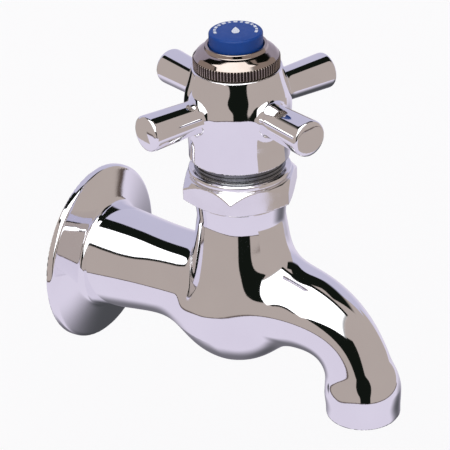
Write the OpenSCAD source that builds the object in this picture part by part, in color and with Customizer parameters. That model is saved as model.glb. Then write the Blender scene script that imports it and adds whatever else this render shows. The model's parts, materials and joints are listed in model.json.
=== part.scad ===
// Wall-mounted faucet with a flanged inlet, a bent spout and a self-closing four-arm handle.
// Origin: centre of the inlet on the wall plane. +X leaves the wall, +Z is up, y = 0 is the mirror plane.

/* [Wall flange and inlet] */
// Diameter of the wall flange
flange_d = 54; // [50:0.5:60]
// Thickness of the flange at its rim
flange_rim_t = 2.4; // [2:0.1:2.6]
// Height of the flange's conical face where it meets the inlet tube
flange_face_h = 4.7; // [4.4:0.1:5.2]
// Outer diameter of the inlet tube at the flange
tube_wall_d = 31.4; // [31:0.1:32.4]
// Outer diameter of the inlet tube where it enters the globe
tube_globe_d = 26.4; // [25.6:0.1:27.2]
// Bore of the female inlet thread
inlet_bore_d = 18.4; // [18:0.1:18.8]
// Depth of the female inlet thread
inlet_bore_len = 18; // [15:0.5:20]

/* [Globe and neck] */
// Distance from the wall to the valve axis
axis_x = 52.5; // [51.5:0.5:53.5]
// Diameter of the globe
globe_d = 33; // [32.4:0.1:33.6]
// Height of the globe's centre
globe_z = -5.5; // [-6:0.1:-5]
// Diameter of the collar band at the top of the neck
neck_d = 26.4; // [26:0.1:26.8]
// Height of the hexagon's seat on the neck
seat_face_z = 33; // [32.6:0.1:33.4]

/* [Spout] */
// Distance from the wall to the middle of the outlet
outlet_x = 92.6; // [92:0.1:93.2]
// Height of the outlet's end face
outlet_z = -29.6; // [-31:0.1:-29]
// Outer diameter of the outlet collar
outlet_d = 21.4; // [21.2:0.1:22]
// Bore of the outlet
outlet_bore_d = 16; // [15:0.1:16.4]

/* [Bonnet] */
// Hexagon size of the bonnet across its flats
hex_af = 30.6; // [30.2:0.1:31]
// Angle of one hexagon corner about the valve axis
hex_turn = 52.3; // [0:0.1:60]
// Height of the top of the bead above the hexagon
bead_top_z = 42.1; // [42:0.1:42.4]
// Diameter of the ridged neck above the bead
ridge_d = 26.4; // [26:0.1:26.6]

/* [Handle] */
// Diameter of the handle hub at its widest
hub_d = 30.8; // [30.6:0.1:31.4]
// Height of the hub's widest line and of the four arms
arm_z = 62; // [61.6:0.1:62.4]
// Diameter of the skirt's lower edge
skirt_d = 29.14; // [29:0.01:29.6]
// Height of the skirt's lower edge
skirt_z = 45.6; // [45.4:0.1:46]
// Height of the hub's top face
hub_top_z = 73.3; // [73.1:0.1:73.5]
// Reach of each arm from the valve axis
arm_reach = 33; // [30:0.5:36]
// Diameter of each arm next to the hub
arm_root_d = 9.7; // [9.2:0.1:10]
// Diameter of each arm near its tip
arm_tip_d = 10.9; // [10.2:0.1:11.2]
// Angle of the first arm about the valve axis
arm_turn = 69.3; // [60:0.1:80]

/* [Index cap] */
// Diameter of the knurled ring
ring_d = 24.8; // [24.4:0.1:25]
// Height of the top of the knurl
knurl_top_z = 76.5; // [76.3:0.1:76.7]
// Height of the ring's opening
ring_top_z = 80; // [79.8:0.1:80.2]
// Number of ridges in the knurl
knurls = 84; // [60:6:96]
// Diameter of the index button
button_d = 15.3; // [15:0.1:15.5]
// Height of the button's crown
button_top_z = 83.9; // [83.2:0.1:84.4]

/* [Action] */
// Lift of the stem from shut to open
stem_lift = 3; // [2:0.1:3.2]
// Turn of the handle from shut to open
handle_turn = 90; // [60:5:90]
// Wire diameter of the return spring
spring_wire = 1.2; // [1:0.1:1.3]
// Number of turns of the return spring
spring_turns = 6; // [5:1:7]

/* [Hidden] */
$fn = 96;
cut = 1;                                // how far a cutter runs past the face it opens

fine_edge = 0.2;                        // the smallest broken edges
thread_r = 1.9;                         // M4 screws
screw_hole_r = 2;
washer_hole_r = 2.2;

// Body
bridge_bottom_z = -2.5;                 // wall between the lower and the upper chamber
bridge_top_z = 1.5;
seat_hole_r = 5.5;
upper_chamber_r = 9.5;
shoulder_z = 14;                        // step where the bonnet's bore begins
bonnet_bore_r = 10.6;
gasket_t = 0.8;
neck_top_z = seat_face_z - gasket_t;
collar_band_z = 26.4;                   // where the band at the top of the neck begins
globe_wall = 3.8;
belly_x = axis_x - 6.5;                 // a second sphere makes the globe lean towards the inlet
belly_z = globe_z - 0.2;
belly_d = globe_d - 0.8;
waterway_r = 5.5;
inlet_way_r = 6.2;
outlet_bore_len = 10;
collar_top_z = outlet_z + 8.6;
edge_r = 0.8;                           // broken edges
recess_r = flange_d / 2 - 3;            // hollow behind the flange, for sealant

// Spout: cubic Bezier centreline from the valve axis to the outlet collar, with a Bezier radius
spout_path = [[axis_x, 5.5], [axis_x + 23.5, 3], [outlet_x - 2.6, -1], [outlet_x - 0.4, outlet_z + 7]];
spout_radii = [14, 15.5, 6.5, outlet_d / 2 - 0.7];
spout_rings = 18;

// Seat
seat_hex_r = 4.2;                       // key hole for fitting the seat, corner radius
seat_rim_r = 6.6;
seat_rim_top_z = bridge_top_z + 1.1;
seat_lip_r = 5;
seat_lip_z = 3.2;

// Bonnet
bonnet_bottom_z = 14.5;
barrel_r = 10.55;                       // the part that screws into the neck
barrel_groove_z = 16.6;
barrel_groove_h = 1.8;
barrel_groove_r = 9;
spring_bore_r = 8.6;
clip_groove_r = 9.25;
hex_top_z = bead_top_z - 2;
bead_r = 14.9;
ridges = 4;
ridge_step = 1.2;
inner_top_z = 44;                       // underside of the bonnet's top wall
bonnet_top_z = 56;
tower_r = 10;
tower_z = 50;
bearing_r = 6;
stop_r = 8;
stop_pin_r = 1.25;
stop_hole_h = 4;
stop_pin_h = 7.5;

// Stem and what rides on it
washer_t = 2.6;
washer_top_z = seat_lip_z + washer_t;
washer_r = 6.2;
cup_r = 6.9;
cup_lip_h = 1.4;                        // how far the cup's rim reaches over the seat washer
neck_r = 3.4;                           // stem between the cup and the piston
piston_r = 8.45;
piston_z = 15;
piston_top_z = 19.4;
groove_z = 16.2;
groove_h = 2;
groove_r = 6.9;
boss_r = 4.6;
boss_h = 1.6;
spring_washer_t = 0.6;
coil_r = 6.5;
stem_r = 3.7;
stem_flat = 2.9;                        // half the distance across the two flats
stem_top_z = 52;
sliding_gap = 0.1;
guide_z = 38.5;
guide_t = 2.4;
clip_t = 1;
clip_r = 9.2;
clip_gap = 3.6;
seat_screw_head_r = 2.9;
seat_screw_head_h = 1.5;

// Driver
driver_bottom_z = guide_z + guide_t + sliding_gap;
driver_flange_r = 8.3;
thrust_t = 0.6;
driver_flange_top = inner_top_z - thrust_t;
shank_r = 5.92;
driver_groove_z = 48;
driver_groove_h = 1.1;
driver_groove_r = 5;
web_z = 57.5;                           // underside of the handle's web
web_top_z = 67;
square_half = 4;

// Handle, its screw and its cap
skirt_bore_r = 13.75;
hub_bore_r = 10;
slot_h = 3;
slot_spare = 2;                         // the stop slot is this many degrees longer at each end
handle_washer_t = 0.8;
lock_washer_t = 0.7;
screw_head_z = web_top_z + handle_washer_t + lock_washer_t;
screw_head_r = 4;
screw_head_h = 2.4;
screw_tip_z = 58.5;
ring_spigot_z = web_top_z + 3;
ring_spigot_r = 9.95;
ring_bore_r = 8.8;
ring_mouth_r = 7.95;
knurl_depth = 0.35;
button_skirt_r = 8.6;
button_hollow_r = 7;
button_wall = 2;
lip_z = ring_top_z - 3.6;

chrome = [0.80, 0.81, 0.84];
brass = [0.78, 0.62, 0.32];
steel = [0.62, 0.63, 0.66];
rubber = [0.12, 0.12, 0.13];
nickel = [0.52, 0.47, 0.42];
blue = [0.10, 0.30, 0.65];
nylon = [0.90, 0.89, 0.84];

module at_axis() translate([axis_x, 0, 0]) children();

module tube(r_out, r_in, z, h) {
    translate([0, 0, z]) difference() {
        cylinder(r = r_out, h = h);
        translate([0, 0, -cut]) cylinder(r = r_in, h = h + 2 * cut);
    }
}

module disc(r, z, h) translate([0, 0, z]) cylinder(r = r, h = h);

module o_ring(ring_r, wire_r, z) {
    translate([0, 0, z]) rotate_extrude() translate([ring_r, 0]) circle(r = wire_r, $fn = 32);
}

// A square prism of given half width, centred on the axis
module square_prism(half, z, h) translate([-half, -half, z]) cube([2 * half, 2 * half, h]);

// A double-D prism: a cylinder with two flats
module double_d(r, flat, z, h) {
    intersection() {
        disc(r, z, h);
        translate([-r - cut, -flat, z - cut]) cube([2 * (r + cut), 2 * flat, h + 2 * cut]);
    }
}

// Cubic Bezier weights, value and slope
function bezier(p, t) = pow(1 - t, 3) * p[0] + 3 * pow(1 - t, 2) * t * p[1]
    + 3 * (1 - t) * t * t * p[2] + pow(t, 3) * p[3];
function bezier_slope(p, t) = 3 * pow(1 - t, 2) * (p[1] - p[0]) + 6 * (1 - t) * t * (p[2] - p[1])
    + 3 * t * t * (p[3] - p[2]);

// One ring of a pipe in the x-z plane, square to the path
function pipe_ring(path, radius, t, sides) = let (c = bezier(path, t), s = bezier_slope(path, t),
    n = [-s[1], s[0]] / norm(s))
    [for (k = [0 : sides - 1]) let (a = 360 * (k + 0.5) / sides)
        [c[0] + radius * cos(a) * n[0], radius * sin(a), c[1] + radius * cos(a) * n[1]]];

// Skin over rings of equal length, closed with flat ends
module skin(rings) {
    sides = len(rings[0]);
    last = len(rings) - 1;
    side_faces = [for (i = [0 : last - 1], k = [0 : sides - 1])
        let (a = i * sides + k, b = i * sides + (k + 1) % sides) [a, b, b + sides, a + sides]];
    start_cap = [[for (k = [0 : sides - 1]) sides - 1 - k]];
    end_cap = [[for (k = [0 : sides - 1]) last * sides + k]];
    polyhedron(points = [for (ring = rings) each ring], faces = concat(side_faces, start_cap, end_cap));
}

module spout_pipe(sides, radii, t0, t1) {
    skin([for (i = [0 : spout_rings]) let (t = t0 + (t1 - t0) * i / spout_rings)
        pipe_ring(spout_path, bezier(radii, t), t, sides)]);
}

module rod(from, to, r) {
    d = to - from;
    translate(from) rotate([0, acos(d[2] / norm(d)), 0]) cylinder(r = r, h = norm(d));
}

module inlet_outside() {
    flange_r = flange_d / 2;
    root_r = tube_wall_d / 2;
    rotate([0, 90, 0]) rotate_extrude() polygon([[0, 0], [flange_r - edge_r, 0], [flange_r, edge_r],
        [flange_r, flange_rim_t - edge_r / 2], [flange_r - edge_r, flange_rim_t],
        [(flange_r + root_r) / 2, flange_rim_t + 0.9], [root_r + 1.2, flange_face_h - 0.6],
        [root_r, flange_face_h + 0.6], [tube_globe_d / 2, axis_x - globe_d / 2 - 8],
        [tube_globe_d / 2, belly_x], [0, belly_x]]);
}

module neck_outside() {
    r = neck_d / 2;
    at_axis() rotate_extrude() polygon([[0, globe_z], [globe_d / 2 - 1.6, globe_z + 3], [r + 2, 8],
        [r + 0.9, 17], [r + 0.2, 22], [r - 0.15, collar_band_z - 0.8], [r, collar_band_z],
        [r, neck_top_z - edge_r / 2],
        [r - edge_r / 2, neck_top_z], [0, neck_top_z]]);
}

module outlet_outside() {
    r = outlet_d / 2;
    translate([outlet_x, 0, 0]) rotate_extrude() polygon([[0, outlet_z], [r - edge_r, outlet_z],
        [r, outlet_z + edge_r], [r, collar_top_z - 1.6], [r - 1, collar_top_z], [0, collar_top_z]]);
}

module faucet_body() color(chrome) difference() {
    union() {
        inlet_outside();
        neck_outside();
        at_axis() translate([0, 0, globe_z]) sphere(d = globe_d);
        translate([belly_x, 0, belly_z]) sphere(d = belly_d);
        spout_pipe(32, spout_radii, 0, 1);
        outlet_outside();
    }
    // female inlet thread, the recess behind the flange and the way into the lower chamber
    translate([-cut, 0, 0]) rotate([0, 90, 0]) cylinder(d = inlet_bore_d, h = inlet_bore_len + cut);
    rotate([0, 90, 0]) rotate_extrude() polygon([[tube_wall_d / 2 - 1, -cut], [recess_r, -cut],
        [recess_r, fine_edge], [tube_wall_d / 2 - 1, 1.6]]);
    rod([inlet_bore_len - 4, 0, 0], [belly_x, 0, globe_z - 3], inlet_way_r);
    at_axis() {
        intersection() {
            translate([0, 0, globe_z]) sphere(r = globe_d / 2 - globe_wall);
            disc(globe_d, bridge_bottom_z - globe_d, globe_d);
        }
        disc(seat_hole_r, bridge_bottom_z - cut, bridge_top_z - bridge_bottom_z + 2 * cut);
        disc(upper_chamber_r, bridge_top_z, shoulder_z - bridge_top_z + cut);
        disc(bonnet_bore_r, shoulder_z, neck_top_z - shoulder_z + cut);
    }
    spout_pipe(16, [waterway_r, waterway_r, waterway_r, waterway_r], 0.12, 1);
    translate([outlet_x, 0, 0]) disc(outlet_bore_d / 2, outlet_z - cut, outlet_bore_len + cut);
}

module seat_insert() color(brass) at_axis() difference() {
    union() {
        disc(seat_hole_r, bridge_bottom_z, bridge_top_z - bridge_bottom_z);
        disc(seat_rim_r, bridge_top_z, seat_rim_top_z - bridge_top_z);
        disc(seat_lip_r, seat_rim_top_z, seat_lip_z - seat_rim_top_z);
    }
    translate([0, 0, bridge_bottom_z - cut])
        cylinder(r = seat_hex_r, h = seat_lip_z - bridge_bottom_z + 2 * cut, $fn = 6);
}

module bonnet_gasket() color(rubber) at_axis()
    tube(neck_d / 2 - fine_edge, bonnet_bore_r, neck_top_z, gasket_t);

module bonnet_o_ring() color(rubber) at_axis() o_ring(9.79, 0.78, barrel_groove_z + barrel_groove_h / 2);

module hexagon() {
    corner_r = hex_af / 2 / cos(30);
    round_r = corner_r - fine_edge;     // the corners are turned to this radius
    flat_r = hex_af / 2 - 0.3;
    chamfer_h = 2.2;
    intersection() {
        rotate([0, 0, hex_turn]) translate([0, 0, seat_face_z])
            cylinder(r = corner_r, h = hex_top_z - seat_face_z, $fn = 6);
        rotate_extrude() polygon([[0, seat_face_z], [flat_r, seat_face_z],
            [round_r, seat_face_z + chamfer_h / 2], [round_r, hex_top_z - chamfer_h], [flat_r, hex_top_z],
            [0, hex_top_z]]);
    }
}

module bonnet() color(chrome) at_axis() difference() {
    r = ridge_d / 2;
    union() {
        disc(barrel_r, bonnet_bottom_z, seat_face_z - bonnet_bottom_z + cut);
        hexagon();
        rotate_extrude() polygon([[0, hex_top_z - 0.1], [bead_r - 0.3, hex_top_z - 0.1],
            [bead_r, hex_top_z + 0.4], [bead_r, bead_top_z - 0.6], [bead_r - 0.5, bead_top_z],
            [r, bead_top_z], [r, tower_z - 1], [r - 1, tower_z], [0, tower_z]]);
        disc(tower_r, tower_z, bonnet_top_z - tower_z);
    }
    for (i = [0 : ridges - 1])
        tube(r + cut, r - 0.35, bead_top_z + 0.5 + ridge_step * i, ridge_step / 2);
    tube(barrel_r + cut, barrel_groove_r, barrel_groove_z, barrel_groove_h);
    disc(spring_bore_r, bonnet_bottom_z - cut, inner_top_z - bonnet_bottom_z + cut);
    disc(clip_groove_r, guide_z - clip_t - 0.05, clip_t + 0.05);
    disc(bearing_r, inner_top_z, bonnet_top_z);
    translate([stop_r, 0, bonnet_top_z - stop_hole_h]) cylinder(r = stop_pin_r, h = stop_hole_h + cut);
}

module guide_plate() color(steel) at_axis() difference() {
    disc(spring_bore_r - 0.03, guide_z, guide_t);
    double_d(stem_r + sliding_gap, stem_flat + sliding_gap, guide_z - cut, guide_t + 2 * cut);
}

module retaining_ring() color(steel) at_axis() difference() {
    tube(clip_r, clip_r - 1.4, guide_z - clip_t, clip_t);
    translate([clip_r / 2, -clip_gap / 2, guide_z - 2 * clip_t]) cube([clip_r, clip_gap, 3 * clip_t]);
}

module thrust_washer() color(nylon) at_axis()
    tube(spring_bore_r - 0.1, bearing_r + fine_edge, driver_flange_top, thrust_t);

// Height along the spring after u turns: its first and last turns lie almost flat
function spring_rise(u, turns, wire, length) = u < 1 ? u * wire
    : u > turns - 1 ? length - (turns - u) * wire
    : wire + (u - 1) / (turns - 2) * (length - 2 * wire);

module return_spring() color(steel) at_axis() {
    sides = 8;
    steps = 16;
    wire_r = spring_wire / 2;
    low = piston_top_z + spring_washer_t + wire_r;
    length = guide_z - wire_r - low;
    skin([for (i = [0 : spring_turns * steps])
        let (u = i / steps, a = 360 * u, z = low + spring_rise(u, spring_turns, spring_wire, length))
        [for (k = [0 : sides - 1]) let (b = -360 * (k + 0.5) / sides, d = coil_r + wire_r * cos(b))
            [d * cos(a), d * sin(a), z + wire_r * sin(b)]]]);
}

module stop_pin() color(steel) at_axis() translate([stop_r, 0, bonnet_top_z - stop_hole_h])
    cylinder(r = stop_pin_r, h = stop_pin_h);

module stem() color(brass) at_axis() difference() {
    union() {
        disc(cup_r, washer_top_z - cup_lip_h, 3 * cup_lip_h);
        disc(neck_r, washer_top_z, piston_z - washer_top_z + cut);
        disc(piston_r, piston_z, piston_top_z - piston_z);
        disc(boss_r, piston_top_z - cut, boss_h + cut);
        double_d(stem_r, stem_flat, piston_top_z, stem_top_z - piston_top_z);
    }
    disc(washer_r + 0.05, washer_top_z - cup_lip_h - cut, cup_lip_h + cut);
    disc(screw_hole_r, washer_top_z - cut, 7 + cut);
    tube(piston_r + cut, groove_r, groove_z, groove_h);
}

module stem_o_ring() color(rubber) at_axis() o_ring(7.7, 0.78, groove_z + groove_h / 2);

module spring_washer() color(steel) at_axis()
    tube(coil_r + 1.3, boss_r + 0.1, piston_top_z, spring_washer_t);

module seat_washer() color(rubber) at_axis() tube(washer_r, screw_hole_r, seat_lip_z, washer_t);

module seat_washer_screw() color(brass) at_axis() difference() {
    union() {
        disc(seat_screw_head_r, seat_lip_z - seat_screw_head_h, seat_screw_head_h);
        disc(thread_r, seat_lip_z - 0.1, 8);
    }
    // the slot for a screwdriver
    translate([-seat_screw_head_r - cut, -0.4, seat_lip_z - seat_screw_head_h - cut])
        cube([2 * (seat_screw_head_r + cut), 0.8, 0.7 + cut]);
}

module driver() color(brass) at_axis() difference() {
    union() {
        disc(driver_flange_r, driver_bottom_z, driver_flange_top - driver_bottom_z);
        disc(shank_r, driver_flange_top - 0.1, web_z - driver_flange_top + 0.1);
        square_prism(square_half, web_z - 0.1, web_top_z - web_z - 0.4);
    }
    disc(stem_r + sliding_gap, driver_bottom_z - cut, stem_top_z + stem_lift + 0.8 - driver_bottom_z + cut);
    disc(screw_hole_r, screw_tip_z - 0.5, web_top_z);
    tube(shank_r + cut, driver_groove_r, driver_groove_z, driver_groove_h);
}

module driver_o_ring() color(rubber) at_axis() o_ring(5.43, 0.42, driver_groove_z + driver_groove_h / 2);

// The arm lies along +X, with a flare towards its tip and a broken, slightly crowned end
module arm() {
    root_r = arm_root_d / 2;
    tip_r = arm_tip_d / 2;
    translate([0, 0, arm_z]) rotate([0, 90, 0]) rotate_extrude() polygon([[0, hub_bore_r + 1],
        [root_r, hub_bore_r + 1], [root_r, hub_d / 2 + 1], [tip_r, arm_reach - 2.2],
        [tip_r - 0.15, arm_reach - 1], [tip_r - 0.9, arm_reach - 0.35], [0, arm_reach]]);
}

module hub_outside() {
    r = hub_d / 2;
    top_r = ring_d / 2 + 0.5;
    rotate_extrude() polygon([[0, skirt_z], [skirt_d / 2 - 0.3, skirt_z], [skirt_d / 2, skirt_z + 0.3],
        [skirt_d / 2, skirt_z + 4], [r - 0.4, arm_z - 4.6], [r, arm_z], [r - 0.55, arm_z + 3.8],
        [top_r + 1, hub_top_z - 4.2], [top_r, hub_top_z - 0.4], [top_r - 0.4, hub_top_z], [0, hub_top_z]]);
}

module handle() color(chrome) at_axis() difference() {
    union() {
        hub_outside();
        for (i = [0 : 3]) rotate([0, 0, arm_turn + 90 * i]) arm();
    }
    disc(skirt_bore_r, skirt_z - cut, web_z - skirt_z + cut);
    disc(hub_bore_r, web_top_z, hub_top_z);
    square_prism(square_half, web_z - cut, web_top_z);
    // the slot that lets the handle turn about the fixed stop pin
    slot_w = 2 * stop_pin_r + 0.5;
    translate([0, 0, web_z - cut]) rotate([0, 0, -handle_turn - slot_spare])
        rotate_extrude(angle = handle_turn + 2 * slot_spare)
            translate([stop_r - slot_w / 2, 0]) square([slot_w, slot_h + cut]);
    for (a = [slot_spare, -handle_turn - slot_spare]) rotate([0, 0, a])
        translate([stop_r, 0, web_z - cut]) cylinder(d = slot_w, h = slot_h + cut);
}

module handle_washer() color(steel) at_axis() tube(6.4, washer_hole_r, web_top_z, handle_washer_t);

module handle_lock_washer() color(steel) at_axis() difference() {
    tube(screw_head_r - 0.1, washer_hole_r, web_top_z + handle_washer_t, lock_washer_t);
    // the split
    translate([1, -0.3, web_top_z]) cube([screw_head_r, 0.6, 3]);
}

module handle_screw() color(steel) at_axis() difference() {
    union() {
        disc(thread_r, screw_tip_z, screw_head_z + 0.1 - screw_tip_z);
        disc(screw_head_r, screw_head_z, screw_head_h - edge_r);
        translate([0, 0, screw_head_z + screw_head_h - edge_r])
            cylinder(r1 = screw_head_r, r2 = screw_head_r - 1, h = edge_r);
    }
    // the cross recess
    for (a = [0, 90]) rotate([0, 0, a])
        translate([-2.4, -0.45, screw_head_z + edge_r]) cube([4.8, 0.9, screw_head_h]);
}

// Outline of the knurl: a trapezoid ridge and a gap for each tooth
function knurl_outline(r, depth, count) = [for (i = [0 : count - 1], k = [0 : 3])
    let (a = 360 / count * (i + [0, 0.4, 0.55, 0.85][k]), d = k < 2 ? r : r - depth)
        [d * cos(a), d * sin(a)]];

module knurled_ring() color(nickel) at_axis() difference() {
    r = ring_d / 2;
    union() {
        disc(ring_spigot_r, ring_spigot_z, hub_top_z - ring_spigot_z);
        translate([0, 0, hub_top_z]) linear_extrude(knurl_top_z - hub_top_z)
            polygon(knurl_outline(r, knurl_depth, knurls));
        rotate_extrude() polygon([[0, knurl_top_z - 0.1], [r - 0.4, knurl_top_z - 0.1],
            [r - 0.4, knurl_top_z], [r - 0.9, knurl_top_z + 1], [r - 1.9, knurl_top_z + 1.8],
            [r - 2.3, knurl_top_z + 2.3], [r - 2.9, ring_top_z - 0.4], [ring_mouth_r + 0.4, ring_top_z],
            [0, ring_top_z]]);
    }
    disc(ring_bore_r, web_top_z, lip_z - web_top_z);
    disc(ring_mouth_r, web_top_z, ring_top_z);
}

module index_button() color(blue) at_axis() difference() {
    r = button_d / 2;
    rotate_extrude() polygon([[0, web_top_z], [button_skirt_r, web_top_z],
        [button_skirt_r, lip_z - fine_edge], [r, lip_z - fine_edge], [r, button_top_z - 1.1],
        [r - 0.35, button_top_z - 0.6], [r - 1.1, button_top_z - 0.3], [0, button_top_z]]);
    disc(button_hollow_r, web_top_z - cut, button_top_z - web_top_z - button_wall + cut);
}

faucet_body();
seat_insert();
bonnet_gasket();
bonnet_o_ring();
bonnet();
guide_plate();
retaining_ring();
thrust_washer();
return_spring();
stop_pin();
stem();
stem_o_ring();
spring_washer();
seat_washer();
seat_washer_screw();
driver();
driver_o_ring();
handle();
handle_washer();
handle_lock_washer();
handle_screw();
knurled_ring();
index_button();
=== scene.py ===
import json
import math

import bmesh
import bpy
import numpy as np
from mathutils import Matrix, Vector


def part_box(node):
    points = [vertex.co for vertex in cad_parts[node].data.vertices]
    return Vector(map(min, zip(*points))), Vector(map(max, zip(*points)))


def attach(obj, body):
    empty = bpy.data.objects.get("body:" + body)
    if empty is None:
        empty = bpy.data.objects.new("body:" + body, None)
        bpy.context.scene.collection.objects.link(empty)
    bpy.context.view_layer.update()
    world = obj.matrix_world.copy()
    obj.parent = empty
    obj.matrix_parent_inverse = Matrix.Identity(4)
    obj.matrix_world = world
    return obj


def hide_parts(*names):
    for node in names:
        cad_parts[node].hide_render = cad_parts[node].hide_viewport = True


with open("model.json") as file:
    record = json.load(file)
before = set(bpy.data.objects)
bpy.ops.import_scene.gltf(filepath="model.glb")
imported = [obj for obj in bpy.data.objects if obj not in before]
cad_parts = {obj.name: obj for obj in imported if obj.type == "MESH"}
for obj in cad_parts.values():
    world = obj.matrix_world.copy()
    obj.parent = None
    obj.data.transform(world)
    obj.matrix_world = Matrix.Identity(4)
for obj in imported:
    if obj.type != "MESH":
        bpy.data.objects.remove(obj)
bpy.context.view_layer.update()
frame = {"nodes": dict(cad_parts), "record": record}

# Everything below works in millimetres in the CAD frame and is written to meshes in metres.
MM = 0.001


def box_mm(node):
    low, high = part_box(node)
    return np.array(low) / MM, np.array(high) / MM


def mount_mm(name):
    mount = next(m for m in frame["record"]["mounts"] if m["name"] == name)
    return np.array(mount["pos_m"]) / MM


# ---------------------------------------------------------------- sizes taken from the frame
body_low, body_high = box_mm("faucet_body")
gasket_low, gasket_high = box_mm("bonnet_gasket")
handle_low, handle_high = box_mm("handle")
ring_low, ring_high = box_mm("knurled_ring")

VALVE_X = (ring_low[0] + ring_high[0]) / 2          # the valve axis
FLANGE_R = body_high[1]
OUTLET_X = mount_mm("outlet_bore")[0]
OUTLET_Z = body_low[2]
NECK_TOP_Z = gasket_low[2]
HEX_Z = gasket_high[2]
SKIRT_Z = handle_low[2]
HUB_TOP_Z = handle_high[2]
RING_TOP_Z = ring_high[2]
RING_R = (ring_high[0] - ring_low[0]) / 2
BUTTON_TOP_Z = box_mm("index_button")[1][2]


# ---------------------------------------------------------------- fields
def spline(points):
    """A natural cubic spline through (x, y) points, flat past its ends."""
    xs, ys = np.array(points, float).T
    n = len(xs)
    h = np.diff(xs)
    a = np.zeros((n, n))
    b = np.zeros(n)
    a[0, 0] = a[-1, -1] = 1
    for i in range(1, n - 1):
        a[i, i - 1 : i + 2] = h[i - 1], 2 * (h[i - 1] + h[i]), h[i]
        b[i] = 6 * ((ys[i + 1] - ys[i]) / h[i] - (ys[i] - ys[i - 1]) / h[i - 1])
    m = np.linalg.solve(a, b)

    def value(q):
        q = np.clip(q, xs[0], xs[-1])
        i = np.clip(np.searchsorted(xs, q) - 1, 0, n - 2)
        s, t = q - xs[i], xs[i + 1] - q
        return (
            (m[i] * t**3 + m[i + 1] * s**3) / (6 * h[i])
            + (ys[i] / h[i] - m[i] * h[i] / 6) * t
            + (ys[i + 1] / h[i] - m[i + 1] * h[i] / 6) * s
        )

    return value


def smin(a, b, k):
    """Union of two fields with a smooth blend about k wide."""
    h = np.maximum(k - np.abs(a - b), 0) / k
    return np.minimum(a, b) - h**3 * k / 6


def smax(a, b, k):
    """Intersection of two fields with a rounded edge."""
    return -smin(-a, -b, k)


def ellipsoid(p, centre, radii):
    """An approximate distance to an ellipsoid, exact where it is zero."""
    q = (p - np.array(centre)) / np.array(radii)
    k0 = np.linalg.norm(q, axis=1)
    k1 = np.linalg.norm(q / np.array(radii), axis=1)
    return k0 * (k0 - 1) / np.maximum(k1, 1e-9)


def bezier(control, t):
    """Points of a cubic Bezier curve."""
    c = np.array(control, float)
    w = np.stack([(1 - t) ** 3, 3 * (1 - t) ** 2 * t, 3 * (1 - t) * t**2, t**3], 1)
    return w @ c


def bezier_slope(control, t):
    c = np.diff(np.array(control, float), axis=0) * 3
    return np.stack([(1 - t) ** 2, 2 * (1 - t) * t, t**2], 1) @ c


def bezier_bend(control, t):
    c = np.diff(np.array(control, float), n=2, axis=0) * 6
    return np.stack([1 - t, t], 1) @ c


def nearest_on_path(control, q, samples=33, batch=200000, newton_steps=4):
    """Parameter of the path's point nearest to each point of q, in the x-z plane."""
    ts = np.linspace(0, 1, samples)
    path = bezier(control, ts)
    t = np.empty(len(q))
    for start in range(0, len(q), batch):
        part = q[start : start + batch]
        d = ((part[:, None, :] - path[None]) ** 2).sum(2)
        t[start : start + batch] = ts[d.argmin(1)]
    for _ in range(newton_steps):
        gap = bezier(control, t) - q
        slope = bezier_slope(control, t)
        top = (gap * slope).sum(1)
        bottom = (slope**2).sum(1) + (gap * bezier_bend(control, t)).sum(1)
        t = np.clip(t - top / np.maximum(bottom, 1), 0, 1)
    return t


def pipe(p, control, radius):
    """A round pipe along a path in the x-z plane, with a radius that varies along it."""
    q = p[:, [0, 2]]
    t = nearest_on_path(control, q)
    gap = np.linalg.norm(q - bezier(control, t), axis=1)
    return np.hypot(gap, p[:, 1]) - radius(t)


# ---------------------------------------------------------------- meshing a field
def field_slope(field, p, eps=0.03):
    """Gradient of a field by central differences."""
    g = np.empty_like(p)
    for axis in range(3):
        d = np.zeros(3)
        d[axis] = eps
        g[:, axis] = (field(p + d) - field(p - d)) / (2 * eps)
    return g


def sample_grid(field, low, counts, step, coarse=4, reach=2.2):
    """Field values on a grid. Beyond reach coarse steps from the surface only the sign is right."""
    nc = [int(math.ceil(c / coarse)) + 1 for c in counts]
    axes = [low[i] + step * coarse * np.arange(nc[i]) for i in range(3)]
    grid = np.stack(np.meshgrid(*axes, indexing="ij"), -1).reshape(-1, 3)
    value = field(grid).reshape(nc)
    near = np.abs(value) < step * coarse * reach
    block = np.zeros([n - 1 for n in nc], bool)
    for i in (0, 1):
        for j in (0, 1):
            for k in (0, 1):
                block |= near[i : i + nc[0] - 1, j : j + nc[1] - 1, k : k + nc[2] - 1]
    far_value = np.sign(value[:-1, :-1, :-1]) * step * coarse
    full = far_value.repeat(coarse, 0).repeat(coarse, 1).repeat(coarse, 2)
    mask = block.repeat(coarse, 0).repeat(coarse, 1).repeat(coarse, 2)
    index = np.argwhere(mask)
    full[mask] = field(low + index * step)
    return full


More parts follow.
